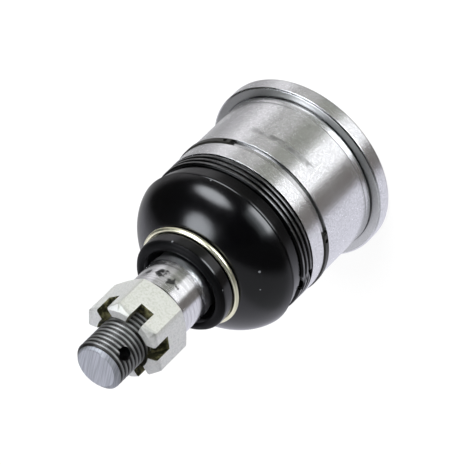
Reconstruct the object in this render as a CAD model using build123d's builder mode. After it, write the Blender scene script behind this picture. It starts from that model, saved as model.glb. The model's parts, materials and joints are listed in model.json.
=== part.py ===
from build123d import *

import os
from math import acos, asin, cos, degrees, radians, sin, sqrt, tan

# Press-in suspension ball joint, in millimetres. +Z runs along the ball stud towards its thread,
# and the origin is the middle of the flange end, on the plane that the joint stands on.

# ---------------------------------------------------------------- driving sizes: housing
body_r = 20.5  # press-fit cylinder
flange_proud = 2.4  # how far the flange stands out of the body
flange_t = 3.85
flange_edge = 0.4  # chamfers of the rim
undercut_w = 0.5  # turned relief where the flange meets the body
undercut_depth = 0.5
undercut_sink = 0.3  # how deep the relief also cuts into the flange's face
undercut_reach = 0.2  # and how far out from the body it does so
shoulder_w = 1.35  # short guide band next to the flange
relief_w = 0.35  # fine turned line between the guide band and the press-fit length
relief_depth = 0.15
press_len = 15.3
ring_groove_w = 1.95
ring_groove_depth = 0.65
land_len = 4.4
edge_break = 0.2  # small chamfers of the turned edges
boot_groove_depth = 2.6
boot_groove_w = 4.7
bead_depth = 1.6  # how far the top bead stays inside the body's outline
bead_h = 1.6
cup_wall = 4.5  # steel between the ball's bore and the press-fit cylinder
cap_ledge = 1.6  # radial width of the ledge that the end cap seats on
rolled_edge_t = 0.9
rolled_edge_w = 1.2

# ---------------------------------------------------------------- driving sizes: ball stud
ball_flat_r = 3.0
neck_r = 6.6
neck_fillet = 1.5
neck_len = 3.3  # parallel neck above the ball
neck_taper_len = 4.5
shank_r = 8.15  # ground seat for the knuckle's eye
shank_len = 10.3
land_step = 0.25  # the turned land that the boot's collar runs on is this much smaller
shank_edge = 0.5
shank_lift = 1.5  # from the collar's mouth to the ground seat
seat_step = 0.25  # height of the small cone between the land and the seat
thread_r = 6.0  # M12 thread, drawn at its major diameter
thread_len = 21.5
point_len = 0.85  # turned point of the thread
point_depth = 1.3
cotter_r = 1.6
cotter_from_end = 4.35
swing_limit = 22.0  # degrees that the stud leans each way

# ---------------------------------------------------------------- driving sizes: seats, spring, cap
ball_clearance = 0.05
seat_clearance = 0.05  # seats in the bore
seat_split_gap = 0.3  # between the two seats, for the preload
seat_wall = 3.0  # plastic between the ball and the bore
seat_floor = 1.35  # plastic under the ball
hold_angle = 34.5  # how far above the ball's middle the upper seat still touches it, in degrees
seat_rim = 0.9  # the upper seat's height above that circle
seat_lead = 0.5
mouth_clearance = 0.5
grease_well_r = 3.5
cap_t = 2.0
cap_clearance = 0.05
cap_dish_r = 7.0
cap_dish_depth = 0.5
spring_play = 0.6  # round the spring, in the bore
spring_inner_r = 8.0
spring_t = 0.9
spring_rise = 0.8

# ---------------------------------------------------------------- driving sizes: boot and rings
soft_gap = 0.3  # the rubber stays this far off what moves in it
boot_wall = 1.7
foot_wall = 1.2
base_ring_t = 1.0
base_ring_gap = 0.05
base_ring_turns = 3
base_turn_h = 1.36
base_turn_round = 0.5
base_end_gap = 0.6  # slot that shows where the wound wire ends
base_end_angle = 225.0
lip_h = 3.8
lip_round = 0.6
crease_w = 0.55
crease_depth = 0.4
crease_wall = 1.0  # rubber above the crease, before the inside follows the bulge
bulge_proud = 0.5  # how far the bulge stands out of the body
bulge_drop = 2.33  # from the crease down to where the bulge would be widest
collar_wall = 3.85
collar_rise = 16.8  # above the housing
collar_round = 1.6
collar_dish = 2.4
neck_ring_wire_r = 0.675
neck_ring_proud = 0.2  # the wire's middle lies this far outside the collar
neck_ring_drop = 4.73  # and this far below the collar's top
neck_ring_split = 2.5  # degrees of the ring that are open, at the back

# ---------------------------------------------------------------- driving sizes: snap ring and nut
snap_ring_gap = 0.1  # beside the ring in its groove
snap_ring_play = 0.05  # under the ring
snap_ring_proud = 0.3
snap_ring_edge = 0.25
snap_ring_open = 92.0  # degrees
snap_ring_facing = -68.0  # direction of the opening's middle, in degrees from +X
eye_r = 0.55
eye_inset = 1.6  # from the ring's end to the eye's middle
nut_af = 18.0  # across flats
nut_h = 11.5
nut_gap = 0.3  # nut above the shank's shoulder
nut_clearance = 0.05
nut_lead = 0.8
slot_w = 3.5
slot_depth = 4.8
slots = 6
tip_inset = 0.3  # the turned ends start this far inside the flats
tip_chamfer_angle = 30.0

# ---------------------------------------------------------------- sizes that follow
flange_r = body_r + flange_proud
guide_z = flange_t + undercut_w
press_z = guide_z + shoulder_w + relief_w
ring_groove_z = press_z + press_len
land_z = ring_groove_z + ring_groove_w
boot_groove_z = land_z + land_len
bead_z = boot_groove_z + boot_groove_w
housing_top = bead_z + bead_h
boot_groove_r = body_r - boot_groove_depth
bead_r = body_r - bead_depth
bore_r = body_r - cup_wall
cap_z = rolled_edge_t
cap_top = cap_z + cap_t
cap_r = bore_r + cap_ledge
spring_top = cap_top + spring_t + spring_rise
spring_outer_r = bore_r - spring_play

# The ball fills its seats, and the stud swings about its middle.
ball_r = bore_r - seat_wall
socket_r = ball_r + ball_clearance
ball_z = spring_top + seat_floor + socket_r
seat_hold = socket_r * sin(radians(hold_angle))
seat_cover = seat_hold + seat_rim
shoulder_z = ball_z + seat_cover
neck_h = sqrt(ball_r**2 - neck_r**2)
neck_top = ball_z + neck_h + neck_len

# The stud's lengths follow the boot, whose collar runs just below the ground seat.
seal_land_r = shank_r - land_step
collar_top = housing_top + collar_rise
shank_z = collar_top - collar_dish + shank_lift
shank_top = shank_z + shank_len
stud_top = shank_top + thread_len
cotter_z = stud_top - cotter_from_end
nut_z = shank_top + nut_gap
nut_top = nut_z + nut_h

# The mouth clears the leaning neck at its lower edge and the leaning shank at its top.
lean = radians(swing_limit)
mouth_low_r = seat_cover * tan(lean) + neck_r / cos(lean) + mouth_clearance
mouth_top_r = (housing_top - ball_z) * tan(lean) + shank_r / cos(lean) + mouth_clearance


def upright(angle=0.0):
    """The half-section plane through the stud's axis at that angle from +X: x is radius, y height."""
    a = radians(angle)
    return Plane(origin=(0, 0, 0), x_dir=(cos(a), sin(a), 0), z_dir=(sin(a), -cos(a), 0))


def rims(part, radius, height):
    """The part's circular edges of that radius at that height."""
    near = 1e-4
    circles = part.edges().filter_by(GeomType.CIRCLE)
    return circles.filter_by(
        lambda edge: abs(edge.radius - radius) < near and abs(edge.arc_center.Z - height) < near
    )


os.makedirs("parts", exist_ok=True)

# ================================================================ housing
# Turned steel cup. The flange stops it in the arm's eye, and the ring groove takes the snap ring.
with BuildPart() as housing:
    Cylinder(flange_r, flange_t, align=(Align.CENTER, Align.CENTER, Align.MIN))
    with Locations((0, 0, flange_t)):
        Cylinder(body_r, boot_groove_z - flange_t, align=(Align.CENTER, Align.CENTER, Align.MIN))
    with Locations((0, 0, boot_groove_z)):
        Cylinder(boot_groove_r, boot_groove_w, align=(Align.CENTER, Align.CENTER, Align.MIN))
    with Locations((0, 0, bead_z)):
        Cylinder(bead_r, bead_h, align=(Align.CENTER, Align.CENTER, Align.MIN))
    chamfer(rims(housing, flange_r, flange_t) + rims(housing, flange_r, 0), flange_edge)
    chamfer(rims(housing, bead_r, housing_top), 2 * edge_break)
    chamfer(rims(housing, body_r, boot_groove_z), edge_break)
    # turned grooves in the outside: undercut, relief line and snap ring groove
    with BuildSketch(upright()):
        with Locations((body_r - undercut_depth, flange_t - undercut_sink)):
            Rectangle(
                undercut_depth + undercut_reach,
                undercut_sink + undercut_w,
                align=(Align.MIN, Align.MIN),
            )
        with Locations((body_r, press_z - relief_w / 2)):
            Rectangle(relief_depth * sqrt(2), relief_depth * sqrt(2), rotation=45)
        with Locations((body_r - ring_groove_depth, ring_groove_z)):
            Rectangle(2 * ring_groove_depth, ring_groove_w, align=(Align.MIN, Align.MIN))
    revolve(axis=Axis.Z, mode=Mode.SUBTRACT)
    chamfer(rims(housing, body_r, guide_z) + rims(housing, body_r, land_z), edge_break)
    # inside: end cap's seat, ball bore, and the mouth that lets the stud lean
    with BuildSketch(upright()):
        with BuildLine():
            Polyline(
                (0, 0),
                (cap_r - rolled_edge_w, 0),
                (cap_r - rolled_edge_w, cap_z),
                (cap_r, cap_z),
                (cap_r, cap_top),
                (bore_r, cap_top),
                (bore_r, shoulder_z),
                (mouth_low_r, shoulder_z),
                (mouth_top_r, housing_top),
                (0, housing_top),
                close=True,
            )
        make_face()
    revolve(axis=Axis.Z, mode=Mode.SUBTRACT)
    fillet(rims(housing, cap_r - rolled_edge_w, 0), rolled_edge_t / 2)
housing.part.label = "housing"
export_step(housing.part, "parts/housing.step")

# ================================================================ ball stud
# One turned and ground steel piece: ball, neck, land, parallel seat and thread with a cotter hole.
with BuildPart() as ball_stud:
    with BuildSketch(upright()):
        with BuildLine():
            flat_h = sqrt(ball_r**2 - ball_flat_r**2)
            ball_start = -degrees(asin(flat_h / ball_r))
            ball_sweep = degrees(acos(neck_r / ball_r)) - ball_start
            Line((0, ball_z - flat_h), (ball_flat_r, ball_z - flat_h))
            CenterArc((0, ball_z), ball_r, ball_start, ball_sweep)
            Polyline(
                (neck_r, ball_z + neck_h),
                (neck_r, neck_top),
                (seal_land_r, neck_top + neck_taper_len),
                (seal_land_r, shank_z - seat_step),
                (shank_r, shank_z),
                (shank_r, shank_top),
                (thread_r, shank_top),
                (thread_r, stud_top - point_len),
                (thread_r - point_depth, stud_top),
                (0, stud_top),
                (0, ball_z - flat_h),
            )
        make_face()
    revolve(axis=Axis.Z)
    fillet(rims(ball_stud, neck_r, ball_z + neck_h), neck_fillet)
    chamfer(rims(ball_stud, shank_r, shank_top), shank_edge)
    with BuildSketch(Plane.XZ):
        with Locations((0, cotter_z)):
            Circle(cotter_r)
    extrude(amount=2 * thread_r, both=True, mode=Mode.SUBTRACT)
ball_stud.part.label = "ball_stud"
export_step(ball_stud.part, "parts/ball_stud.step")

# ================================================================ upper ball seat
# Plastic ring that holds the ball down from above its middle.
seat_r = bore_r - seat_clearance
hold_r = sqrt(socket_r**2 - seat_hold**2)
split_r = sqrt(socket_r**2 - (seat_split_gap / 2) ** 2)
with BuildPart() as upper_ball_seat:
    with BuildSketch(upright()):
        with BuildLine():
            Polyline(
                (split_r, ball_z + seat_split_gap / 2),
                (seat_r, ball_z + seat_split_gap / 2),
                (seat_r, shoulder_z),
                (hold_r + seat_lead, shoulder_z),
                (hold_r, ball_z + seat_hold),
            )
            socket_start = degrees(asin(seat_split_gap / 2 / socket_r))
            socket_sweep = degrees(asin(seat_hold / socket_r)) - socket_start
            CenterArc((0, ball_z), socket_r, socket_start, socket_sweep)
        make_face()
    revolve(axis=Axis.Z)
    chamfer(rims(upper_ball_seat, seat_r, shoulder_z), edge_break)
upper_ball_seat.part.label = "upper_ball_seat"
export_step(upper_ball_seat.part, "parts/upper_ball_seat.step")

# ================================================================ lower ball seat
# Plastic cup under the ball, pushed up by the preload spring, with a grease well at its bottom.
with BuildPart() as lower_ball_seat:
    with Locations((0, 0, spring_top)):
        Cylinder(
            seat_r,
            ball_z - seat_split_gap / 2 - spring_top,
            align=(Align.CENTER, Align.CENTER, Align.MIN),
        )
    with Locations((0, 0, ball_z)):
        Sphere(socket_r, mode=Mode.SUBTRACT)
    with Locations((0, 0, spring_top)):
        Cylinder(
            grease_well_r,
            ball_r,
            align=(Align.CENTER, Align.CENTER, Align.MIN),
            mode=Mode.SUBTRACT,
        )
    chamfer(rims(lower_ball_seat, seat_r, spring_top), edge_break * 2)
lower_ball_seat.part.label = "lower_ball_seat"
export_step(lower_ball_seat.part, "parts/lower_ball_seat.step")

# ================================================================ preload spring
# Conical disc spring: its outer edge stands on the end cap, its inner edge lifts the lower seat.
with BuildPart() as preload_spring:
    with BuildSketch(upright()):
        with BuildLine():
            Polyline(
                (spring_outer_r, cap_top),
                (spring_outer_r, cap_top + spring_t),
                (spring_inner_r, spring_top),
                (spring_inner_r, spring_top - spring_t),
                close=True,
            )
        make_face()
    revolve(axis=Axis.Z)
preload_spring.part.label = "preload_spring"
export_step(preload_spring.part, "parts/preload_spring.step")

# ================================================================ end cap
# Pressed steel disc with a shallow dish, held on its ledge by the housing's rolled edge.
with BuildPart() as end_cap:
    with Locations((0, 0, cap_z)):
        Cylinder(cap_r - cap_clearance, cap_t, align=(Align.CENTER, Align.CENTER, Align.MIN))
    with Locations((0, 0, cap_top)):
        Cylinder(cap_dish_r, cap_dish_depth, align=(Align.CENTER, Align.CENTER, Align.MIN))
    with Locations((0, 0, cap_z)):
        Cylinder(
            cap_dish_r,
            cap_dish_depth,
            align=(Align.CENTER, Align.CENTER, Align.MIN),
            mode=Mode.SUBTRACT,
        )
    chamfer(rims(end_cap, cap_dish_r, cap_top + cap_dish_depth), cap_dish_depth * 0.8)
    chamfer(rims(end_cap, cap_dish_r, cap_z), cap_dish_depth * 0.8)
end_cap.part.label = "end_cap"
export_step(end_cap.part, "parts/end_cap.step")

# ================================================================ snap ring
# Open spring-steel ring in the housing's groove, a little proud of the body, an eye in each end.
snap_inner_r = body_r - ring_groove_depth + snap_ring_play
snap_outer_r = body_r + snap_ring_proud
snap_ring_z = ring_groove_z + snap_ring_gap
snap_ring_h = ring_groove_w - 2 * snap_ring_gap
first_end = snap_ring_facing + snap_ring_open / 2
last_end = snap_ring_facing - snap_ring_open / 2 + 360
eye_turn = degrees(eye_inset / snap_outer_r)
with BuildPart() as snap_ring:
    with BuildSketch(upright(first_end)):
        with Locations((snap_inner_r, snap_ring_z)):
            Rectangle(snap_outer_r - snap_inner_r, snap_ring_h, align=(Align.MIN, Align.MIN))
    revolve(axis=Axis.Z, revolution_arc=360 - snap_ring_open)
    chamfer(
        rims(snap_ring, snap_outer_r, snap_ring_z)
        + rims(snap_ring, snap_outer_r, snap_ring_z + snap_ring_h),
        snap_ring_edge,
    )
    for turn in (first_end + eye_turn, last_end - eye_turn):
        out = Vector(1, 0, 0).rotate(Axis.Z, turn)
        middle = Vector(0, 0, snap_ring_z + snap_ring_h / 2)
        with BuildSketch(Plane(origin=middle, z_dir=out)):
            Circle(eye_r)
        extrude(amount=snap_outer_r + snap_ring_proud, mode=Mode.SUBTRACT)
snap_ring.part.label = "snap_ring"
export_step(snap_ring.part, "parts/snap_ring.step")

# ================================================================ boot base ring
# Close-wound ring of three turns of wire, clamping the boot's foot in the housing's groove.
foot_inner_r = boot_groove_r + soft_gap
foot_outer_r = foot_inner_r + foot_wall
base_ring_inner_r = foot_outer_r + base_ring_gap
base_ring_outer_r = base_ring_inner_r + base_ring_t
base_ring_z = boot_groove_z + base_ring_gap
base_ring_top = base_ring_z + base_ring_turns * base_turn_h
with BuildPart() as boot_base_ring:
    with BuildSketch(upright()):
        for turn in range(base_ring_turns):
            with Locations((base_ring_inner_r, base_ring_z + turn * base_turn_h)):
                Rectangle(base_ring_t, base_turn_h, align=(Align.MIN, Align.MIN))
        # the gaps between the rounded turns
        for seam in range(base_ring_turns + 1):
            with Locations((base_ring_outer_r, base_ring_z + seam * base_turn_h)):
                Rectangle(
                    base_turn_round * sqrt(2),
                    base_turn_round * sqrt(2),
                    rotation=45,
                    mode=Mode.SUBTRACT,
                )
    revolve(axis=Axis.Z)
    # the wire's cut end, in the top turn
    with BuildSketch(Plane.XY.offset(base_ring_top)):
        with PolarLocations(base_ring_inner_r, 1, start_angle=base_end_angle):
            Rectangle(2 * base_ring_t + 2 * base_ring_gap, base_end_gap)
    extrude(amount=-base_turn_h, mode=Mode.SUBTRACT)
boot_base_ring.part.label = "boot_base_ring"
export_step(boot_base_ring.part, "parts/boot_base_ring.step")

# ================================================================ dust boot
# Moulded rubber shell: foot in the groove, rolled lip over the ring, bulge, ring groove and collar.
lip_z = base_ring_top + base_ring_gap
lip_top = lip_z + lip_h
lip_r = base_ring_outer_r
crease_top = lip_top + crease_w
crease_r = lip_r - crease_depth
cavity_r = bead_r + soft_gap
neck_bore_r = seal_land_r + soft_gap
collar_r = neck_bore_r + collar_wall
neck_ring_r = collar_r + neck_ring_proud
neck_ring_z = collar_top - neck_ring_drop
groove_r = neck_ring_r - neck_ring_wire_r - soft_gap
groove_low = neck_ring_z - neck_ring_wire_r - soft_gap
groove_high = neck_ring_z + neck_ring_wire_r + soft_gap
shoulder_r = neck_ring_r + neck_ring_wire_r / 2
# The bulge is an ellipsoid about the axis: widest at bulge_z, and narrowed to the ring's shoulder.
bulge_r = body_r + bulge_proud
bulge_z = crease_top - bulge_drop
bulge_h = (groove_low - bulge_z) / sqrt(1 - (shoulder_r / bulge_r) ** 2)
bulge_start = degrees(asin((crease_top - bulge_z) / bulge_h))
bulge_end = degrees(asin((groove_low - bulge_z) / bulge_h))
bulge_start_r = bulge_r * cos(radians(bulge_start))
inner_bulge_r = bulge_r - boot_wall
inner_bulge_h = bulge_h - boot_wall
inner_end_r = neck_bore_r + boot_wall / 2
inner_end = degrees(acos(inner_end_r / inner_bulge_r))
inner_end_z = bulge_z + inner_bulge_h * sin(radians(inner_end))
inner_start_z = crease_top + crease_wall
inner_start = degrees(asin((inner_start_z - bulge_z) / inner_bulge_h))
inner_start_r = inner_bulge_r * cos(radians(inner_start))
with BuildPart() as dust_boot:
    with BuildSketch(upright()):
        with BuildLine():
            Polyline(
                (foot_inner_r, boot_groove_z + soft_gap),
                (foot_outer_r, boot_groove_z + soft_gap),
                (foot_outer_r, lip_z),
                (lip_r, lip_z),
                (lip_r, lip_top - lip_round),
            )
            RadiusArc((lip_r, lip_top - lip_round), (lip_r - lip_round, lip_top), -lip_round)
            Polyline(
                (lip_r - lip_round, lip_top),
                (crease_r - lip_round / 2, (lip_top + crease_top) / 2),
                (bulge_start_r, crease_top),
            )
            EllipticalCenterArc(
                (0, bulge_z),
                bulge_r,
                bulge_h,
                bulge_start,
                arc_size=bulge_end - bulge_start,
            )
            Polyline(
                (shoulder_r, groove_low),
                (groove_r, groove_low),
                (groove_r, groove_high),
                (collar_r, groove_high),
                (collar_r, collar_top - collar_round),
            )
            RadiusArc(
                (collar_r, collar_top - collar_round),
                (collar_r - collar_round, collar_top),
                -collar_round,
            )
            Polyline(
                (collar_r - collar_round, collar_top),
                (neck_bore_r, collar_top - collar_dish),
                (neck_bore_r, inner_end_z + boot_wall / 2),
                (inner_end_r, inner_end_z),
            )
            EllipticalCenterArc(
                (0, bulge_z),
                inner_bulge_r,
                inner_bulge_h,
                inner_start,
                arc_size=inner_end - inner_start,
            )
            Polyline(
                (inner_start_r, inner_start_z),
                (cavity_r, crease_top),
                (cavity_r, bead_z - soft_gap),
                (foot_inner_r, bead_z - soft_gap),
                (foot_inner_r, boot_groove_z + soft_gap),
            )
        make_face()
    revolve(axis=Axis.Z)
dust_boot.part.label = "dust_boot"
export_step(dust_boot.part, "parts/dust_boot.step")

# ================================================================ boot neck ring
# Split wire ring in the groove behind the boot's collar, its ends butted at the back.
with BuildPart() as boot_neck_ring:
    with BuildSketch(upright(90 + neck_ring_split / 2)):
        with Locations((neck_ring_r, neck_ring_z)):
            Circle(neck_ring_wire_r)
    revolve(axis=Axis.Z, revolution_arc=360 - neck_ring_split)
boot_neck_ring.part.label = "boot_neck_ring"
export_step(boot_neck_ring.part, "parts/boot_neck_ring.step")

# ================================================================ castle nut
# Slotted hexagon nut: a through bore, a slot across the middle of each flat, chamfered ends.
nut_corner_r = nut_af / 2 / cos(radians(30))
tip_r = nut_af / 2 - tip_inset
chamfer_h = (nut_corner_r - tip_r) * tan(radians(tip_chamfer_angle))
with BuildPart() as castle_nut:
    with BuildSketch(Plane.XY.offset(nut_z)):
        RegularPolygon(nut_corner_r, 6, rotation=30)
    extrude(amount=nut_h)
    # both ends are turned to a shallow cone that rounds the hexagon's corners off
    with BuildSketch(upright()):
        with BuildLine():
            Polyline(
                (0, nut_z),
                (tip_r, nut_z),
                (nut_corner_r, nut_z + chamfer_h),
                (nut_corner_r, nut_top - chamfer_h),
                (tip_r, nut_top),
                (0, nut_top),
                close=True,
            )
        make_face()
    revolve(axis=Axis.Z, mode=Mode.INTERSECT)
    with Locations((0, 0, nut_z)):
        Cylinder(
            thread_r + nut_clearance,
            nut_h,
            align=(Align.CENTER, Align.CENTER, Align.MIN),
            mode=Mode.SUBTRACT,
        )
    chamfer(
        rims(castle_nut, thread_r + nut_clearance, nut_z)
        + rims(castle_nut, thread_r + nut_clearance, nut_top),
        nut_lead,
    )
    with BuildSketch(Plane.XY.offset(nut_top)):
        with PolarLocations(0, slots // 2, angular_range=180):
            Rectangle(2 * nut_corner_r, slot_w)
    extrude(amount=-slot_depth, mode=Mode.SUBTRACT)
castle_nut.part.label = "castle_nut"
export_step(castle_nut.part, "parts/castle_nut.step")
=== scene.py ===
import json
from math import acos, asin, cos, hypot, pi, radians, sin, sqrt, tan

import bmesh
import bpy
from mathutils import Matrix, Vector


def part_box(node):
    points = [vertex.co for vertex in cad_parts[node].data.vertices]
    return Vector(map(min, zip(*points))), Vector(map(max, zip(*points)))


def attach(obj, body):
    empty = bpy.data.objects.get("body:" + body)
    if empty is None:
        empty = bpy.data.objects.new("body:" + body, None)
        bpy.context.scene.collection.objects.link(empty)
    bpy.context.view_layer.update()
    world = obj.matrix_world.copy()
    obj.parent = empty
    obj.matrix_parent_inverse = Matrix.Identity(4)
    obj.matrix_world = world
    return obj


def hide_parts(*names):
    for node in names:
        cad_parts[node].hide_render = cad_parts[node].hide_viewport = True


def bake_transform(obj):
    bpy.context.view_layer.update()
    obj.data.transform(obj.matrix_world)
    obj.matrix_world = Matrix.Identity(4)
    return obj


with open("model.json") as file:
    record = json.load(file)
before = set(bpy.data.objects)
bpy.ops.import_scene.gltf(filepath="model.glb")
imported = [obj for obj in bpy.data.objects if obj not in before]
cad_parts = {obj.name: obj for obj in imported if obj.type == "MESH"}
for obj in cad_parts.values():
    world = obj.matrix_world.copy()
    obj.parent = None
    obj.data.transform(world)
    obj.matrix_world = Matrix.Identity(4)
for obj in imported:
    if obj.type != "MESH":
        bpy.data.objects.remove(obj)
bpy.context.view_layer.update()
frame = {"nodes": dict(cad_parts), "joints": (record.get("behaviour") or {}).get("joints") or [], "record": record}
mm = 0.001

# ================================================================ housing
# The joint's cup, turned and ground from a steel bar. Its cylinder is pressed into the arm's eye as
# far as the flange, and its grooves take the snap ring and the foot of the boot.


class Socket:
    """An output in a material's node tree. Arithmetic on it adds Math nodes to that tree."""

    def __init__(self, tree, output=None):
        self.tree = tree
        self.output = output

    def node(self, kind, settings=None, inputs=None, out=0):
        """Adds a node with those settings, feeds its sockets, and returns one of its outputs."""
        made = self.tree.nodes.new(kind)
        for setting, value in (settings or {}).items():
            if setting == "stops":
                ramp = made.color_ramp.elements
                while len(ramp) < len(value):
                    ramp.new(1.0)
                for stop, (place, colour) in zip(ramp, value):
                    stop.position = place
                    stop.color = (*colour, 1.0)
            else:
                setattr(made, setting, value)
        for name, value in (inputs or {}).items():
            if isinstance(value, Socket):
                self.tree.links.new(value.output, made.inputs[name])
            else:
                made.inputs[name].default_value = value
        return Socket(self.tree, made.outputs[out])

    def math(self, operation, *values):
        return self.node("ShaderNodeMath", {"operation": operation}, dict(enumerate(values)))

    def __add__(self, other):
        return self.math("ADD", self, other)

    __radd__ = __add__

    def __sub__(self, other):
        return self.math("SUBTRACT", self, other)

    def __rsub__(self, other):
        return self.math("SUBTRACT", other, self)

    def __mul__(self, other):
        return self.math("MULTIPLY", self, other)

    __rmul__ = __mul__

    def rise(self, low, high):
        """0 below low, 1 above high and a smooth step between them."""
        return self.node(
            "ShaderNodeMapRange",
            {"interpolation_type": "SMOOTHSTEP"},
            {"Value": self, "From Min": low, "From Max": high},
        )

    def band(self, low, full, fade, end):
        """1 from full to fade, 0 below low and above end, and a smooth step on each side."""
        return self.rise(low, full) * (1 - self.rise(fade, end))

    def between(self, colour, other):
        """The two colours mixed by this value: colour at 0 and other at 1."""
        return self.node(
            "ShaderNodeMix",
            {"data_type": "RGBA"},
            {"Factor": self, 6: colour, 7: other},
            out=2,
        )


def look(name, **plain):
    """A new material with those plain settings, its tree, and the place of each point on it."""
    made = bpy.data.materials.new(name)
    made.use_nodes = True
    shader = made.node_tree.nodes["Principled BSDF"]
    for setting, value in plain.items():
        shader.inputs[setting.replace("_", " ")].default_value = value
    tree = Socket(made.node_tree)
    return made, tree, tree.node("ShaderNodeTexCoord", out="Object")


def feed(made, **varying):
    """Links what varies over the surface to the material's shader."""
    shader = made.node_tree.nodes["Principled BSDF"]
    for setting, value in varying.items():
        made.node_tree.links.new(value.output, shader.inputs[setting.replace("_", " ")])


def noise(tree, place, x, y, z, detail=3.0):
    """Noise with that many grains to the metre along each axis."""
    stretched = tree.node("ShaderNodeMapping", None, {"Vector": place, "Scale": (x, y, z)})
    fine = {"Vector": stretched, "Scale": 1.0, "Detail": detail}
    return tree.node("ShaderNodeTexNoise", None, fine)


def along(tree, place, axis):
    return tree.node("ShaderNodeSeparateXYZ", None, {"Vector": place}, out=axis)


def out_from_axis(tree, place):
    across = tree.node("ShaderNodeVectorMath", {"operation": "MULTIPLY"}, {0: place, 1: (1, 1, 0)})
    return tree.node("ShaderNodeVectorMath", {"operation": "LENGTH"}, {0: across}, out="Value")


def bump(tree, height, depth):
    """A normal that follows the height, for marks of that depth in mm."""
    marks = {"Strength": 0.5, "Distance": depth * mm, "Height": height}
    return tree.node("ShaderNodeBump", None, marks)


def turned(outline, steps=192):
    """A body turned about Z from its half outline. A corner is (radius, height, rounding) in mm."""
    bm = bmesh.new()
    chain = [bm.verts.new((r * mm, 0, z * mm)) for r, z, _ in outline]
    edges = [bm.edges.new(pair) for pair in zip(chain, chain[1:])]
    if outline[0][0] or outline[-1][0]:
        edges.append(bm.edges.new((chain[-1], chain[0])))
    bmesh.ops.spin(
        bm,
        geom=chain + edges,
        axis=(0, 0, 1),
        cent=(0, 0, 0),
        angle=2 * pi,
        steps=steps,
        use_merge=True,
    )
    bmesh.ops.remove_doubles(bm, verts=bm.verts, dist=1e-7)
    bmesh.ops.recalc_face_normals(bm, faces=bm.faces)
    for rounding in sorted({corner[2] for corner in outline if corner[2]}, reverse=True):
        rings = {
            edge
            for r, z, own in outline
            if own == rounding
            for edge in bm.edges
            if all(on_ring(vert, r * mm, z * mm) for vert in edge.verts)
        }
        rounded(bm, rings, rounding)
    return bm


def on_ring(vert, radius, height):
    near = 1e-7
    return abs(hypot(vert.co.x, vert.co.y) - radius) < near and abs(vert.co.z - height) < near


def rounded(bm, edges, radius, segments=4):
    bmesh.ops.bevel(
        bm,
        geom=list(edges),
        offset=radius * mm,
        offset_type="OFFSET",
        affect="EDGES",
        segments=segments,
        profile=0.5,
        material=-1,
        clamp_overlap=True,
    )


def piece(name, bm, *looks):
    """The finished mesh as an object at the origin, smooth but for its sharp corners."""
    mesh = bpy.data.meshes.new(name)
    bm.to_mesh(mesh)
    bm.free()
    for made in looks:
        mesh.materials.append(made)
    obj = bpy.data.objects.new(name, mesh)
    bpy.context.collection.objects.link(obj)
    smooth(obj)
    weighted = obj.modifiers.new("even_normals", "WEIGHTED_NORMAL")
    weighted.keep_sharp = True
    return obj


def smooth(obj):
    obj.data.shade_smooth()
    obj.data.set_sharp_from_angle(angle=radians(35))


def span(node):
    """The node's lowest and highest height in mm."""
    return tuple(corner[2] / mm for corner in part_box(node))


def reach(node):
    """The node's largest radius, measured along X in mm."""
    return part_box(node)[1][0] / mm


mounts = {mount["name"]: mount for mount in frame["record"]["mounts"]}
swing = next(joint for joint in frame["joints"] if joint["name"] == "stud_swing")
lean = radians(swing["range_deg"][1])
ball_z = swing["pos_m"][2] / mm
flange_r = reach("housing")
flange_t = mounts["flange_shoulder"]["pos_m"][2] / mm
flange_chamfer = 0.4
housing_top = span("housing")[1]
body_r = mounts["press_fit_body"]["dims"]["r_mm"]
shank_r = mounts["stud_shank"]["dims"]["r_mm"]
neck_r = 6.6
close_fit = 0.05
# the bore, whose step stops the end cap
cap_low, cap_high = span("end_cap")
cap_seat_z = cap_high - 0.5
cap_seat_r = reach("end_cap") + close_fit
rolled_r = cap_seat_r - 1.2
bore_r = reach("upper_ball_seat") + close_fit
seat_top = span("upper_ball_seat")[1]
# the mouth, which the stud clears by this gap at its full lean
lean_gap = 0.5
mouth_low_r = (seat_top - ball_z) * tan(lean) + neck_r / cos(lean) + lean_gap
mouth_top_r = (housing_top - ball_z) * tan(lean) + shank_r / cos(lean) + lean_gap
# the grooves for the snap ring and for the foot of the boot
snap_low, snap_high = span("snap_ring")
snap_gap = 0.1
ring_groove_z = snap_low - snap_gap
ring_groove_r = body_r - 0.65
land_z = snap_high + snap_gap
boot_groove_z = span("boot_base_ring")[0] - close_fit
boot_groove_r = body_r - 2.6
bead_r = body_r - 1.6
bead_z = housing_top - 1.6
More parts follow.
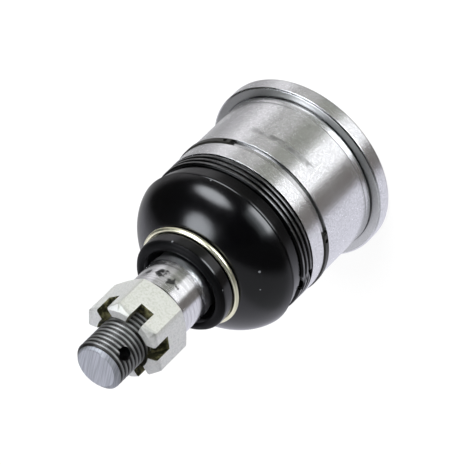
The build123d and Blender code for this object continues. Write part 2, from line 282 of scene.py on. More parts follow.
# the undercut behind the flange, the guide band and the relief line below the ground wall
undercut_r = body_r - 0.5
undercut_z = flange_t - 0.3
undercut_lip_r = body_r + 0.2
guide_z = flange_t + 0.5
guide_h = 1.35
guide_low_r = body_r + 0.1
guide_high_r = body_r - 0.14
line_w = 0.35
line_depth = 0.15
press_z = guide_z + guide_h + line_w
housing_outline = [
    (rolled_r, 0, 0.4),
    (flange_r, 0, 0.4),
    (flange_r, flange_t - flange_chamfer, 0.08),
    (flange_r - flange_chamfer, flange_t, 0.08),
    (undercut_lip_r, flange_t, 0.05),
    (undercut_lip_r, undercut_z, 0.1),
    (undercut_r, undercut_z, 0.1),
    (undercut_r, guide_z, 0.1),
    (guide_low_r, guide_z, 0.12),
    (guide_high_r, press_z - line_w, 0.03),
    (body_r - line_depth, press_z - line_w / 2, 0.03),
    (body_r, press_z, 0.03),
    (body_r, ring_groove_z, 0.06),
    (ring_groove_r, ring_groove_z, 0.1),
    (ring_groove_r, land_z, 0.1),
    (body_r, land_z, 0.15),
    (body_r, boot_groove_z, 0.05),
    (boot_groove_r, boot_groove_z, 0.1),
    (boot_groove_r, bead_z, 0.1),
    (bead_r, bead_z, 0.15),
    (bead_r, housing_top, 0.4),
    (mouth_top_r, housing_top, 0.15),
    (mouth_low_r, seat_top, 0),
    (bore_r, seat_top, 0),
    (bore_r, cap_seat_z, 0),
    (cap_seat_r, cap_seat_z, 0),
    (cap_seat_r, cap_low, 0),
    (rolled_r, cap_low, 0.3),
]

turned_steel, tree, place = look("turned_steel", Metallic=1.0)
lines = noise(tree, place, 30, 30, 9000, detail=2.0)
grain = noise(tree, place, 2600, 2600, 2600)
clouds = noise(tree, place, 130, 130, 260, detail=4.0)
ragged = noise(tree, place, 500, 500, 1900, detail=4.0)
height = along(tree, place, "Z")
radius = out_from_axis(tree, place)
around = tree.math("ARCTAN2", along(tree, place, "Y"), along(tree, place, "X"))
# a long smear of old oil round the middle of the body
wander = height + 0.0012 * clouds
smear = wander.band(0.0160, 0.0168, 0.0173, 0.0183) * around.band(-1.38, -1.25, -0.62, -0.38)
smear = smear * noise(tree, place, 420, 420, 420).rise(0.34, 0.58)
# painted shade in the corners of the undercut, in the relief line and in the snap ring's groove
inside = 1 - radius.rise(undercut_r * mm, (body_r - line_depth) * mm)
line_z = press_z - line_w / 2
line = height.band((press_z - line_w - 0.05) * mm, line_z * mm, line_z * mm, (press_z + 0.05) * mm)
recess_shade = inside * height.rise(0, 0.001)
# less painted shade on the upper floor of the snap ring's groove, where it only dims the floor's glint
recess_shade = recess_shade * (1 - 0.6 * height.rise((ring_groove_z + 0.35) * mm, (ring_groove_z + 0.55) * mm))
# the flange's shoulder, duller and darker than the body, and darker and olive on the near side
shoulder = height.band(*((flange_t + off) * mm for off in (-0.04, -0.02, 0.02, 0.04)))
near_side_dark = shoulder * around.band(-0.80, -0.50, 0.5, 1.2)
steel = grain.rise(0.25, 0.70).between((0.62, 0.62, 0.63, 1), (0.80, 0.80, 0.81, 1))
steel = (shoulder * 0.3).between(steel, (0.30, 0.31, 0.25, 1))
# the smear is a real oil stain; the corners and the relief line carry painted shade
soil_and_shade = smear * 0.55 + recess_shade * 0.7 + line * 0.5 + near_side_dark * 0.7
feed(
    turned_steel,
    Base_Color=soil_and_shade.between(steel, (0.06, 0.06, 0.05, 1)),
    Roughness=0.15 + 0.09 * lines + 0.08 * clouds + 0.15 * smear + 0.18 * shoulder,
    Normal=bump(tree, lines + 0.4 * grain + 3.0 * ragged, 0.006),
)
housing = piece("housing_cup", turned(housing_outline, steps=256), turned_steel)
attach(housing, "housing")
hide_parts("housing")

# ================================================================ ball seats
# Two cups of moulded acetal that hold the ball: the upper one lies under the housing's shoulder,
# and the spring pushes the lower one up. Both stay sealed inside.


def finish(node, made):
    """Gives a node that keeps its own shape that material."""
    for held in frame["nodes"][node].material_slots:
        held.material = made


acetal, tree, place = look("acetal", IOR=1.48)
flow = noise(tree, place, 300, 300, 300)
feed(
    acetal,
    Base_Color=flow.between((0.80, 0.79, 0.74, 1), (0.88, 0.87, 0.82, 1)),
    Roughness=0.42 + 0.12 * flow,
)
for cup in ("upper_ball_seat", "lower_ball_seat"):
    finish(cup, acetal)

# ================================================================ ball stud
# One forged piece, turned and ground: the ball in its seats, the neck, the bright seat for the
# knuckle, and a rolled thread with a cross hole for a cotter pin.
pitch = 1.25
thread_depth = 0.52 * pitch
thread_r = mounts["stud_thread"]["dims"]["r_mm"]
crest_r = thread_r - 0.05
root_r = crest_r - thread_depth
core_r = root_r - 0.4
stud_top = span("ball_stud")[1]
seat = mounts["stud_shank"]
seat_h = seat["dims"]["length_mm"]
seat_z = seat["pos_m"][2] / mm - seat_h / 2
seat_step = 0.25
shank_top = seat_z + seat_h + 2 * seat_step
land_r = shank_r - seat_step
ball_r = reach("ball_stud")
ball_flat_r = 3.0
ball_flat = sqrt(ball_r**2 - ball_flat_r**2)
ball_parts = 40
neck_h = 3.3
neck_top = ball_z + sqrt(ball_r**2 - neck_r**2) + neck_h
neck_flare = 4.5
core_h = 4
thread_sunk = 0.5
point_z = stud_top - 0.85
point_r = thread_r - 1.3


def apart(tree, place, azimuth, radius, height):
    """How far each point lies from the one at that azimuth in degrees, radius and height in mm."""
    turn = radians(azimuth)
    spot = (radius * mm * cos(turn), radius * mm * sin(turn), height * mm)
    distance = {"operation": "DISTANCE"}
    return tree.node("ShaderNodeVectorMath", distance, {0: place, 1: spot}, out="Value")


def screw(crest_r, low, high, steps=96):
    """A threaded rod of that crest radius in mm, closed at both heights by a flat end."""
    bm = bmesh.new()
    root = crest_r - thread_depth
    # the groove's flat, its flank, the crest and the other flank, in parts of the pitch
    section = ((root, 0), (root, 0.15), (crest_r, 0.46), (crest_r, 0.70), (root, 1))
    foot = low - low % pitch - 1.5 * pitch
    chain = [bm.verts.new((r * mm, 0, (foot + part * pitch) * mm)) for r, part in section]
    turns = int((high - foot) / pitch) + 3
    bmesh.ops.spin(
        bm,
        geom=chain + [bm.edges.new(pair) for pair in zip(chain, chain[1:])],
        axis=(0, 0, 1),
        cent=(0, 0, 0),
        dvec=(0, 0, pitch * mm / steps),
        angle=2 * pi * turns,
        steps=steps * turns,
    )
    bmesh.ops.remove_doubles(bm, verts=bm.verts, dist=2e-6)
    for height, side in ((low, -1), (high, 1)):
        bmesh.ops.bisect_plane(
            bm,
            geom=bm.verts[:] + bm.edges[:] + bm.faces[:],
            dist=1e-8,
            plane_co=(0, 0, height * mm),
            plane_no=(0, 0, side),
            clear_outer=True,
        )
        rim = [e for e in bm.edges if e.is_boundary]
        rim = [e for e in rim if abs(e.verts[0].co.z - height * mm) < 1e-7]
        bmesh.ops.holes_fill(bm, edges=rim, sides=0)
    bmesh.ops.recalc_face_normals(bm, faces=bm.faces)
    return bm


def cut(obj, other, operation="DIFFERENCE"):
    """Takes the other mesh out of the object, or joins it, and keeps the material of each face."""
    tool = bpy.data.objects.new("tool", bpy.data.meshes.new("tool"))
    other.to_mesh(tool.data)
    other.free()
    for made in obj.data.materials:
        tool.data.materials.append(made)
    bpy.context.collection.objects.link(tool)
    change = obj.modifiers.new("change", "BOOLEAN")
    change.operation = operation
    change.solver = "EXACT"
    change.object = tool
    solved = obj.evaluated_get(bpy.context.evaluated_depsgraph_get())
    obj.data = bpy.data.meshes.new_from_object(solved)
    obj.modifiers.remove(change)
    bpy.data.objects.remove(tool)
    smooth(obj)


first, last = -asin(ball_flat / ball_r), acos(neck_r / ball_r)
ball_turns = [first + (last - first) * i / ball_parts for i in range(ball_parts + 1)]
stud_outline = [
    (0, ball_z - ball_flat, 0),
    *((ball_r * cos(t), ball_z + ball_r * sin(t), 0) for t in ball_turns),
    (neck_r, neck_top, 0.8),
    (land_r, neck_top + neck_flare, 0.8),
    (land_r, seat_z - seat_step, 0.05),
    (shank_r, seat_z, 0.05),
    (shank_r, shank_top, 0.45),
    (core_r, shank_top, 0),
    (core_r, shank_top + core_h, 0),
    (0, shank_top + core_h, 0),
]
# the rolled thread, pointed by a chamfer
threaded = screw(crest_r, shank_top - thread_sunk, stud_top)
for vert in threaded.verts:
    out = hypot(vert.co.x, vert.co.y) / mm
    up = vert.co.z / mm
    limit = point_r + (stud_top - up) * (thread_r - point_r) / (stud_top - point_z)
    if up > point_z and out > limit:
        vert.co.x *= limit / out
        vert.co.y *= limit / out
ground, tree, place = look("ground_steel", Metallic=1.0)
height = along(tree, place, "Z")
radius = out_from_axis(tree, place)
on_thread = height.rise((shank_top - 0.1) * mm, (shank_top + 0.1) * mm)
on_point = height.rise((point_z - 0.1) * mm, (point_z + 0.15) * mm)
on_end = height.rise((stud_top - 0.06) * mm, (stud_top - 0.02) * mm)
wear = noise(tree, place, 700, 700, 700, detail=4.0)
in_root = (1 - radius.rise((root_r + 0.32) * mm, crest_r * mm)) * on_thread * (1 - on_point)
lines = noise(tree, place, 40, 40, 8000, detail=2.0)
scratches = noise(tree, place, 110, 110, 2300, detail=5.0)
dull = 1 - (height + 0.0008 * wear).rise((seat_z + 0.4) * mm, (seat_z + 3.4) * mm)
# a painted shadow in the gap under the nut, and painted shade on the stud beside the collar
under_nut_shadow = height.rise((shank_top - 0.5) * mm, (shank_top - 0.35) * mm) * (1 - on_thread)
collar_shade = 1 - (height + 0.0010 * wear).rise((seat_z - 0.2) * mm, (seat_z + 1.8) * mm)
# parallel marks of the saw over the end
across_cuts = (0, 0, radians(-42))
facing = tree.node("ShaderNodeMapping", None, {"Vector": place, "Rotation": across_cuts})
cut_lines = noise(tree, facing, 3300, 110, 1)
steel = scratches.rise(0.30, 0.66).between((0.58, 0.58, 0.59, 1), (0.72, 0.72, 0.73, 1))
steel = on_thread.between(steel, (0.29, 0.29, 0.285, 1))
sawn = cut_lines.rise(0.34, 0.66).between((0.36, 0.37, 0.39, 1), (0.51, 0.52, 0.55, 1))
steel = on_point.between(steel, sawn)
relief = (lines + 0.6 * scratches) * (1 - on_end) + 0.6 * cut_lines * on_end
relief = relief + 0.5 * wear * on_thread + 42 * dull
# stains on the seat: azimuth in degrees, height and size in mm
spots = 0
for azimuth, spot_z, size in (
    (-31, 56.5, 0.9),
    (-34, 55.8, 0.6),
    (-55, 57.1, 0.8),
    (-70, 57.2, 0.3),
    (-8, 56.6, 0.5),
):
    away = apart(tree, place, azimuth, shank_r, spot_z)
    spots = spots + (1 - (away + 0.0044 * wear).rise((size + 2.0) * mm, (size + 2.6) * mm))
# painted shade beside the collar, together with the seat's real stains
steel = (spots * 0.9 + collar_shade * 0.75).between(steel, (0.04, 0.04, 0.04, 1))
chamfer = on_point * (1 - on_end)
# oil and painted shade in the thread's roots, the painted shadow under the nut, and painted shade that tones down
# the point's chamfer glint
oil_and_shade = in_root * (0.75 + 0.5 * wear) + under_nut_shadow + 0.20 * chamfer
rough = 0.14 + 0.10 * scratches + 0.30 * on_thread + 0.12 * spots
feed(
    ground,
    Base_Color=oil_and_shade.between(steel, (0.035, 0.034, 0.032, 1)),
    Roughness=rough + 0.26 * dull + 0.10 * chamfer,
    Normal=bump(tree, relief, 0.012),
)
stud = piece("stud", turned(stud_outline), ground)
cut(stud, threaded, "UNION")
cotter = mounts["cotter_hole"]
hole = bmesh.new()
bmesh.ops.create_cone(
    hole,
    cap_ends=True,
    segments=64,
    radius1=cotter["dims"]["r_mm"] * mm,
    radius2=cotter["dims"]["r_mm"] * mm,
    depth=4 * thread_r * mm,
    matrix=Matrix.Translation(cotter["pos_m"]) @ Matrix.Rotation(pi / 2, 4, "X"),
)
cut(stud, hole)
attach(stud, "stud")
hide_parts("ball_stud")

# ================================================================ preload spring
# A disc spring of blued steel between the end cap and the lower seat. It takes up the play as the
# seats wear.
blued, tree, place = look("blued_spring_steel", Metallic=1.0)
temper = noise(tree, place, 160, 160, 160)
feed(
    blued,
    Base_Color=temper.between((0.16, 0.17, 0.24, 1), (0.26, 0.24, 0.26, 1)),
    Roughness=0.30 + 0.12 * temper,
)
finish("preload_spring", blued)

# ================================================================ end cap
# Pressed steel disc that closes the cup. It lies against a step in the bore, and the housing's
# edge is rolled over it.
pressed, tree, place = look("pressed_steel", Metallic=1.0)
grain = noise(tree, place, 900, 900, 900, detail=5.0)
feed(
    pressed,
    Base_Color=grain.between((0.46, 0.46, 0.47, 1), (0.60, 0.60, 0.61, 1)),
    Roughness=0.34 + 0.16 * grain,
)
finish("end_cap", pressed)

# ================================================================ dust boot
# Moulded rubber shell, filled with grease. Its foot sits in the housing's groove under the wound
# ring, its lip rolls over the ring, and its collar runs on the stud behind the wire ring.
boot_low, boot_high = span("dust_boot")
ring_low, ring_high = span("boot_base_ring")
ring_outer_r = reach("boot_base_ring")
neck_ring_low, neck_ring_high = span("boot_neck_ring")
wire_r = (neck_ring_high - neck_ring_low) / 2
neck_ring_z = (neck_ring_high + neck_ring_low) / 2
neck_ring_r = reach("boot_neck_ring") - wire_r
soft_gap = 0.3
foot_r = boot_groove_r + soft_gap
foot_outer_r = foot_r + 1.2
foot_bore_r = bead_r + soft_gap
lip_z = ring_high + close_fit
lip_top = lip_z + 3.8
lip_draft = 0.6
crease_top = lip_top + 0.55
crease_depth = 0.7
bulge_r = 21.0
bulge_z = 33.9
shoulder_r = neck_ring_r + wire_r / 2
groove_low = neck_ring_low - soft_gap
groove_high = neck_ring_high + soft_gap
groove_r = neck_ring_r - wire_r - soft_gap
collar_r = neck_ring_r - 0.2
collar_round = 1.6
collar_dish = 2.4
collar_bore_r = land_r + soft_gap
boot_wall = 1.7
bulge_h = (groove_low - bulge_z) / sqrt(1 - (shoulder_r / bulge_r) ** 2)


def bulge(radius, height, low, high, parts):
    """Points of the bulge's section between two heights, as corners with no rounding."""
    first, last = asin((low - bulge_z) / height), asin((high - bulge_z) / height)
    turns = [first + (last - first) * i / parts for i in range(parts + 1)]
    return [(radius * cos(t), bulge_z + height * sin(t), 0) for t in turns]


inside_r, inside_h = bulge_r - boot_wall, bulge_h - boot_wall
inside_bulge = bulge(inside_r, inside_h, crease_top + 1.0, groove_low - 0.6, 20)
boot_outline = [
    (foot_r, boot_low, 0.2),
    (foot_outer_r, boot_low, 0.2),
    (foot_outer_r, lip_z, 0.1),
    (ring_outer_r - lip_draft, lip_z, 0.25),
    (ring_outer_r, lip_top, 0.7),
    (ring_outer_r - crease_depth, (lip_top + crease_top) / 2, 0.1),
    *bulge(bulge_r, bulge_h, crease_top, groove_low - 0.1, 28),
    (shoulder_r - 0.2, groove_low, 0.15),
    (groove_r, groove_low, 0.2),
    (groove_r, groove_high, 0.2),
    (collar_r, groove_high, 0.25),
    (collar_r, boot_high, collar_round),
    (collar_r - collar_round - 0.5, boot_high, 0.5),
    (collar_bore_r, boot_high - collar_dish, 0.2),
    (collar_bore_r, groove_low, 0.2),
    *reversed(inside_bulge),
    (foot_bore_r, crease_top - 0.4, 0.2),
    (foot_bore_r, bead_z - soft_gap, 0.1),
    (foot_r, bead_z - soft_gap, 0.1),
]
rubber, tree, place = look("moulded_rubber", IOR=1.5, Specular_IOR_Level=0.42)
mould = noise(tree, place, 25, 25, 1800)
haze = noise(tree, place, 120, 120, 120, detail=5.0)
peel = noise(tree, place, 420, 420, 420, detail=5.0)
# specks of dust: azimuth in degrees, radius, height and size in mm
dust = 0
for azimuth, dust_r, dust_z, size in (
    (-105, 17.0, 42.1, 0.22),
    (-41, bulge_r, 34.4, 0.16),
    (-34, 20.7, 36.4, 0.12),
    (-121, 16.4, 42.6, 0.12),
    (-26, collar_r, 49.6, 0.20),
    (-52, collar_r - 0.2, 50.0, 0.16),
    (-106, collar_r, 49.8, 0.16),
):
    away = apart(tree, place, azimuth, dust_r, dust_z)
    dust = dust + (1 - away.rise(size * mm, (size + 0.12) * mm))
feed(
    rubber,
    Base_Color=dust.between((0.0010, 0.0010, 0.0013, 1), (0.16, 0.17, 0.18, 1)),
    Roughness=0.08 + 0.08 * haze + 0.10 * peel + 0.3 * dust,
    Normal=bump(tree, 1.6 * mould + 1.0 * haze + 2.6 * peel, 0.008),
)
# the collar's mouth is dull, where the stud and old grease have worn it
dull_rubber, tree, place = look("dull_rubber", IOR=1.5, Specular_IOR_Level=0.08)
haze = noise(tree, place, 300, 300, 300, detail=5.0)
feed(
    dull_rubber,
    Base_Color=haze.between((0.0010, 0.0010, 0.0012, 1), (0.0030, 0.0030, 0.0034, 1)),
    Roughness=0.36 + 0.14 * haze,
)
boot_bm = turned(boot_outline)
for face in boot_bm.faces:
    if face.calc_center_median().z > (boot_high - 0.8) * mm:
        face.material_index = 1
boot = piece("rubber_boot", boot_bm, rubber, dull_rubber)
bend_low, bend_high = (0, 0, crease_top * mm), (0, 0, (groove_low - 1) * mm)
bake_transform(boot)
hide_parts("dust_boot")

# ================================================================ boot base ring
# Three turns of flattened black wire, wound tight round the boot's foot. Each turn lies flat and
# steps up to the next one at the same place, where the wire's cut ends show.
ring_inner_r = ring_outer_r - 1.0
inner_round, outer_round = 0.12, 0.62
round_parts = 8
ring_turns = 3
turn_h = (ring_high - ring_low) / ring_turns
flat_steps = 150
step_at = radians(-129)
step_sweep = radians(9)
step_parts = 6
open_sweep = 1.4 * step_sweep
wire_bm = bmesh.new()
section = []
for corner, (r, z, rounding) in enumerate(
    (
        (ring_inner_r, 0, inner_round),
        (ring_outer_r, 0, outer_round),
        (ring_outer_r, turn_h, outer_round),
        (ring_inner_r, turn_h, inner_round),
    )
):
    mid_r = r + rounding * (1 if r == ring_inner_r else -1)
    mid_z = z + rounding * (1 if z == 0 else -1)
    for part in range(round_parts + 1):
        turn = pi + corner * pi / 2 + part * pi / 2 / round_parts
        section.append((mid_r + rounding * cos(turn), mid_z + rounding * sin(turn)))
chain = [
    wire_bm.verts.new((r * mm * cos(step_at), r * mm * sin(step_at), (ring_low + z) * mm))
    for r, z in section
]
last = chain + [wire_bm.edges.new(pair) for pair in zip(chain, chain[1:] + chain[:1])]
for level in range(ring_turns):
    last_turn = level == ring_turns - 1
    flat = 2 * pi - (open_sweep if last_turn else step_sweep)
    climb_each = turn_h * mm / step_parts
    for sweep, steps, climb in ((flat, flat_steps, 0), (step_sweep, step_parts, climb_each)):
        if climb and last_turn:
            break
        last = bmesh.ops.spin(
            wire_bm,
            geom=last,
            axis=(0, 0, 1),
            cent=(0, 0, 0),
            dvec=(0, 0, climb),
            angle=sweep,
            steps=steps,
        )["geom_last"]
        last = [part for part in last if not isinstance(part, bmesh.types.BMFace)]
bmesh.ops.holes_fill(wire_bm, edges=[edge for edge in wire_bm.edges if edge.is_boundary], sides=0)
bmesh.ops.recalc_face_normals(wire_bm, faces=wire_bm.faces)
black_wire, tree, place = look("black_wire", Metallic=1.0)
scuffs = noise(tree, place, 200, 200, 1500, detail=4.0)
across = tree.math("FRACT", (along(tree, place, "Z") - ring_low * mm) * (1 / (turn_h * mm)))
# painted shade in the gaps between the turns
turn_gap_shade = 1 - across.band(0.12, 0.34, 0.60, 0.82)
oxide = scuffs.rise(0.45, 0.72).between((0.10, 0.10, 0.10, 1), (0.24, 0.24, 0.24, 1))
feed(
    black_wire,
    Base_Color=turn_gap_shade.between(oxide, (0.012, 0.012, 0.012, 1)),
    Roughness=0.20 + 0.16 * scuffs,
)
base_ring = piece("wound_base_ring", wire_bm, black_wire)
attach(base_ring, "boot")
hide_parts("boot_base_ring")

# ================================================================ boot neck ring
# One turn of yellow zinc plated wire in the groove behind the collar, its ends butted together at
# the back.
gold, tree, place = look("yellow_zinc", Metallic=1.0)
tarnish = noise(tree, place, 260, 260, 260, detail=4.0)
feed(
    gold,
    Base_Color=tarnish.between((0.96, 0.93, 0.68, 1), (0.82, 0.80, 0.60, 1)),
    Roughness=0.24 + 0.14 * tarnish,
)
split = radians(2.5)
neck_bm = bmesh.new()
bmesh.ops.create_circle(neck_bm, radius=wire_r * mm, segments=28)
bmesh.ops.rotate(neck_bm, verts=neck_bm.verts, matrix=Matrix.Rotation(pi / 2, 3, "X"))
bmesh.ops.translate(neck_bm, verts=neck_bm.verts, vec=(neck_ring_r * mm, 0, neck_ring_z * mm))
bmesh.ops.rotate(neck_bm, verts=neck_bm.verts, matrix=Matrix.Rotation(pi / 2 + split / 2, 3, "Z"))
bmesh.ops.spin(
    neck_bm,
    geom=neck_bm.verts[:] + neck_bm.edges[:],
    axis=(0, 0, 1),
    cent=(0, 0, 0),
    angle=2 * pi - split,
    steps=160,
)
bmesh.ops.holes_fill(neck_bm, edges=[edge for edge in neck_bm.edges if edge.is_boundary], sides=0)
bmesh.ops.recalc_face_normals(neck_bm, faces=neck_bm.faces)
neck_ring = piece("neck_wire", neck_bm, gold)
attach(neck_ring, "boot_neck")
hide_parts("boot_neck_ring")

# ================================================================ castle nut
# Hexagon nut with a slot across the middle of each flat for the cotter pin. Turned steel, zinc
# plated, with an olive film of passivation left in the slots and the thread.
nut_low, nut_top = span("castle_nut")
nut_flat = reach("castle_nut")
nut_corner = nut_flat / cos(pi / 6)
tip_r = nut_flat - 0.3
tip_slope = tan(radians(30))
slot_w = 3.5
slot_depth = 4.8
lead_r = thread_r + 0.85
edge_round = 0.14
zinc, tree, place = look("passivated_zinc", Metallic=0.85)
mottle = noise(tree, place, 2100, 2100, 2100, detail=5.0)
tint = noise(tree, place, 150, 150, 150)
# painted light: the facets away from the camera side are painted paler, for the light that falls on them
camera_side = 0.5 * along(tree, place, "X") - 0.866 * along(tree, place, "Y")
patches = mottle.rise(0.30, 0.60)
faint = tint.between((0.55, 0.56, 0.48, 1), (0.63, 0.63, 0.56, 1))
plated = patches.between(faint, (0.71, 0.71, 0.66, 1))
painted_pale_facets = patches.between((0.69, 0.70, 0.67, 1), (0.83, 0.83, 0.80, 1))
plated = camera_side.rise(0.0070, 0.0092).between(painted_pale_facets, plated)
# and the tops of the teeth are darker
darker_tops = along(tree, place, "Z").rise((nut_top - 1.6) * mm, (nut_top - 0.9) * mm)
feed(
    zinc,
    Base_Color=(0.3 * darker_tops).between(plated, (0.28, 0.28, 0.27, 1)),
    Roughness=0.50 + 0.16 * mottle,
    Normal=bump(tree, mottle, 0.02),
)
olive, tree, place = look("olive_film", Metallic=0.5)
film = noise(tree, place, 900, 900, 900, detail=5.0)
feed(
    olive,
    Base_Color=film.rise(0.42, 0.72).between((0.024, 0.024, 0.010, 1), (0.27, 0.26, 0.13, 1)),
    Roughness=0.35 + 0.2 * film,
)
nut_bm = bmesh.new()
bmesh.ops.create_cone(
    nut_bm,
    cap_ends=True,
    segments=6,
    radius1=nut_corner * mm,
    radius2=nut_corner * mm,
    depth=(nut_top - nut_low) * mm,
    matrix=Matrix.Translation((0, 0, (nut_top + nut_low) / 2 * mm)),
)
nut = piece("nut", nut_bm, zinc, olive)
spare = 1.0
far_r = nut_corner + spare
cone_outline = [
    (0, nut_low - spare, 0),
    (tip_r - spare / tip_slope, nut_low - spare, 0),
    (far_r, nut_low + (far_r - tip_r) * tip_slope, 0),
    (far_r, nut_top - (far_r - tip_r) * tip_slope, 0),
    (tip_r - spare / tip_slope, nut_top + spare, 0),
    (0, nut_top + spare, 0),
]
cut(nut, turned(cone_outline, steps=144), "INTERSECT")
slot_size = (3 * nut_corner * mm, slot_w * mm, 2 * slot_depth * mm)
for turn in range(3):
    slot = bmesh.new()
    bmesh.ops.create_cube(slot, size=1.0)
    bmesh.ops.scale(slot, verts=slot.verts, vec=slot_size)
    bmesh.ops.translate(slot, verts=slot.verts, vec=(0, 0, nut_top * mm))
    bmesh.ops.rotate(slot, verts=slot.verts, matrix=Matrix.Rotation(turn * pi / 3, 3, "Z"))
    for face in slot.faces:
        face.material_index = 1
    cut(nut, slot)
edges_bm = bmesh.new()
edges_bm.from_mesh(nut.data)
sharp = [e for e in edges_bm.edges if e.calc_face_angle(0) > radians(22)]
rounded(edges_bm, sharp, edge_round, segments=2)
edges_bm.to_mesh(nut.data)
edges_bm.free()
# the thread, with a lead in at both ends
lead_outline = [
    (0, nut_low - spare, 0),
    (lead_r + spare, nut_low - spare, 0),
    (thread_r - spare, nut_low + lead_r - thread_r + spare, 0),
    (thread_r - spare, nut_top - lead_r + thread_r - spare, 0),
    (lead_r + spare, nut_top + spare, 0),
    (0, nut_top + spare, 0),
]
tap = screw(thread_r + 0.05, nut_low - spare, nut_top + spare)
for tool in (turned(lead_outline, steps=96), tap):
    for face in tool.faces:
        face.material_index = 1
    cut(nut, tool)
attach(nut, "nut")
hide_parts("castle_nut")

# ================================================================ snap ring
# Open ring of phosphated spring steel, sprung into the housing's groove once the joint is pressed
# in. A small eye in each end takes the pliers.
phosphate, tree, place = look("phosphated_steel", Metallic=0.7)
grain = noise(tree, place, 1500, 1500, 1500, detail=4.0)
feed(
    phosphate,
    Base_Color=grain.between((0.010, 0.010, 0.010, 1), (0.060, 0.058, 0.050, 1)),
    Roughness=0.28 + 0.2 * grain,
)
finish("snap_ring", phosphate)

# ================================================================ studio
# White floor, soft lamps and a studio of white and black panels that only gloss shows. The long
# lens looks from the stud's side, rolled so that the stud points down to the left.
floor_bm = bmesh.new()
bmesh.ops.create_grid(floor_bm, x_segments=1, y_segments=1, size=4.0)
plain = {"Roughness": 0.9, "Specular_IOR_Level": 0.0, "Emission_Strength": 1.0}
paper, tree, place = look("paper_floor", **plain)
seen = tree.node("ShaderNodeLightPath", out="Is Camera Ray")
feed(
    paper,
    Base_Color=seen.between((0.85, 0.85, 0.85, 1), (0.20, 0.20, 0.20, 1)),
    Emission_Color=seen.between((0, 0, 0, 1), (0.86, 0.86, 0.86, 1)),
)
floor = piece("floor", floor_bm, paper)
floor.visible_glossy = False

world = bpy.data.worlds.new("studio")
bpy.context.scene.world = world
world.use_nodes = True
world.cycles.sampling_method = "NONE"
tree = Socket(world.node_tree)
way = tree.node("ShaderNodeTexCoord", out="Generated")
rise = along(tree, way, "Z")
azimuth = tree.math("ARCTAN2", along(tree, way, "Y"), along(tree, way, "X")) * (0.5 / pi) + 0.5


def panels(tree, azimuth, *walls):
    """A ring of panels: (first degree, last degree, colour). They blend in the space between."""
    stops = []
    for low, high, colour in walls:
        stops += [((low + 180) / 360, colour), ((high + 180) / 360, colour)]
    return tree.node("ShaderNodeValToRGB", {"stops": stops}, {"Fac": azimuth})


below = panels(
    tree,
    azimuth,
    (-180, -142, (0.84, 0.84, 0.93)),
    (-134, -104, (0.19, 0.175, 0.165)),
    (-98, -66, (1.35, 1.36, 1.38)),
    (-59, -31, (0.36, 0.37, 0.33)),
    (-26, -8, (0.62, 0.62, 0.61)),
    (-2, 4, (0.54, 0.54, 0.53)),
    (12, 30, (0.98, 0.97, 1.0)),
    (36, 46, (0.62, 0.61, 0.63)),
    (56, 72, (0.44, 0.44, 0.45)),
    (90, 100, (0.60, 0.60, 0.62)),
    (112, 180, (0.82, 0.82, 0.91)),
)
above = panels(
    tree,
    azimuth,
    (-180, -152, (0.50, 0.51, 0.54)),
    (-140, -104, (0.05, 0.05, 0.05)),
    (-96, -52, (0.02, 0.02, 0.02)),
    (-42, 6, (0.08, 0.08, 0.08)),
    (18, 66, (0.03, 0.03, 0.025)),
    (84, 160, (0.86, 0.86, 0.95)),
    (170, 180, (0.50, 0.51, 0.54)),
)
# a low window behind the camera, bright near the floor and fading upwards
window = azimuth.band(0.222, 0.240, 0.318, 0.338)
low_window = window * rise.band(-0.30, -0.16, -0.02, 0.12)
high_window = window * rise.band(-0.10, 0.04, 0.10, 0.44)


def direction(azimuth, elevation):
    """The unit vector that points that way from the joint."""
    level = cos(elevation)
    return Vector((cos(azimuth) * level, sin(azimuth) * level, sin(elevation)))


def glow(tree, way, azimuth, elevation, width, height, tilt):
    """A soft oval of light in that direction: 1 in its middle and 0 beyond its edge."""
    middle = direction(azimuth, elevation)
    side = Matrix.Rotation(tilt, 3, middle) @ Vector((-sin(azimuth), cos(azimuth), 0))
    dot = {"operation": "DOT_PRODUCT"}
    ahead, across, up = (
        tree.node("ShaderNodeVectorMath", dot, {0: way, 1: axis}, out="Value")
        for axis in (middle, side / width, middle.cross(side) / height)
    )
    return (1 - (across * across + up * up).rise(0.25, 1.5)) * ahead.rise(0, 0.3)


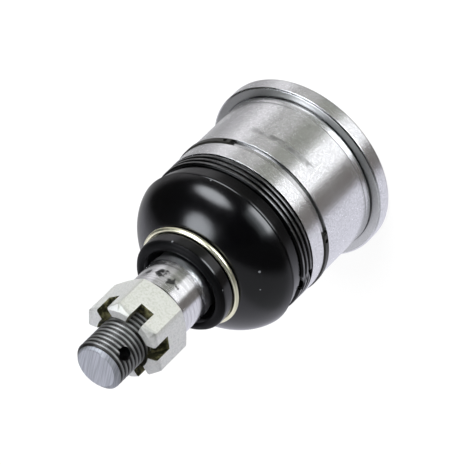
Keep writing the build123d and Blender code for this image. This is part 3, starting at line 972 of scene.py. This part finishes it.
side_glow = glow(tree, way, radians(-17), radians(19), 0.40, 0.19, radians(-20))
top_glow = glow(tree, way, radians(20), radians(65), 0.26, 0.26, 0)
background = world.node_tree.nodes["Background"]
glossy_ray = tree.node("ShaderNodeLightPath", out="Is Glossy Ray")
camera_ray = tree.node("ShaderNodeLightPath", out="Is Camera Ray")
room = rise.rise(-0.36, 0.0).between(below, above)
room = low_window.between(high_window.between(room, (2.4, 2.6, 2.7, 1)), (10.0, 10.4, 10.9, 1))
room = rise.rise(-0.84, -0.72).between((0.08, 0.08, 0.08, 1), room)
room = side_glow.between(room, (10.4, 10.8, 11.4, 1))
room = top_glow.between(room, (8.8, 9.2, 9.8, 1))
room = glossy_ray.between((0.62, 0.62, 0.63, 1), room)
room = camera_ray.between(room, (1, 1, 1, 1))
tree.tree.links.new(room.output, background.inputs["Color"])
joint_middle = Vector((0, 0, 0.04))


def lamp(name, azimuth, elevation, width, height, watts, distance=0.6):
    """A soft oval lamp that looks at the joint's middle from that direction and distance."""
    light = bpy.data.lights.new(name, "AREA")
    light.shape = "ELLIPSE"
    light.size, light.size_y = width, height
    light.energy = watts
    away = direction(azimuth, elevation)
    made = bpy.data.objects.new(name, light)
    made.location = joint_middle + away * distance
    made.rotation_euler = away.to_track_quat("Z", "Y").to_euler()
    made.visible_glossy = False
    bpy.context.collection.objects.link(made)


lamp("side_lamp", radians(-26), radians(20), 0.50, 0.28, 2.1)
lamp("top_lamp", radians(-3), radians(64), 0.36, 0.30, 1.6)

sensor_mm = 36.0
lens_px = 3500.0
frame_px = 465.0
turn = radians(21.0)
from_axis = radians(52.15)
roll = radians(44.5)
origin_u, origin_v, depth = 99.98, 1.43, 804.6
toward = Vector((sin(turn), -cos(turn), 0))
# the view's own axes: u runs away from the stud's point, v across it, w away from the camera
w = -(cos(from_axis) * Vector((0, 0, 1)) + sin(from_axis) * toward)
u = cos(from_axis) * toward - sin(from_axis) * Vector((0, 0, 1))
v = -Vector((cos(turn), sin(turn), 0))
right = cos(roll) * u + sin(roll) * v
down = -sin(roll) * u + cos(roll) * v
spot = -(origin_u * depth / lens_px * u + origin_v * depth / lens_px * v + depth * w) * mm
camera = bpy.data.cameras.new("camera")
camera.sensor_width = sensor_mm
camera.lens = sensor_mm * lens_px / frame_px
camera.clip_start = 0.05
camera.clip_end = 20.0
view = bpy.data.objects.new("camera", camera)
view.matrix_world = Matrix.Translation(spot) @ Matrix((right, -down, -w)).transposed().to_4x4()
bpy.context.collection.objects.link(view)
bpy.context.scene.camera = view
bpy.context.scene.view_settings.view_transform = "Standard"
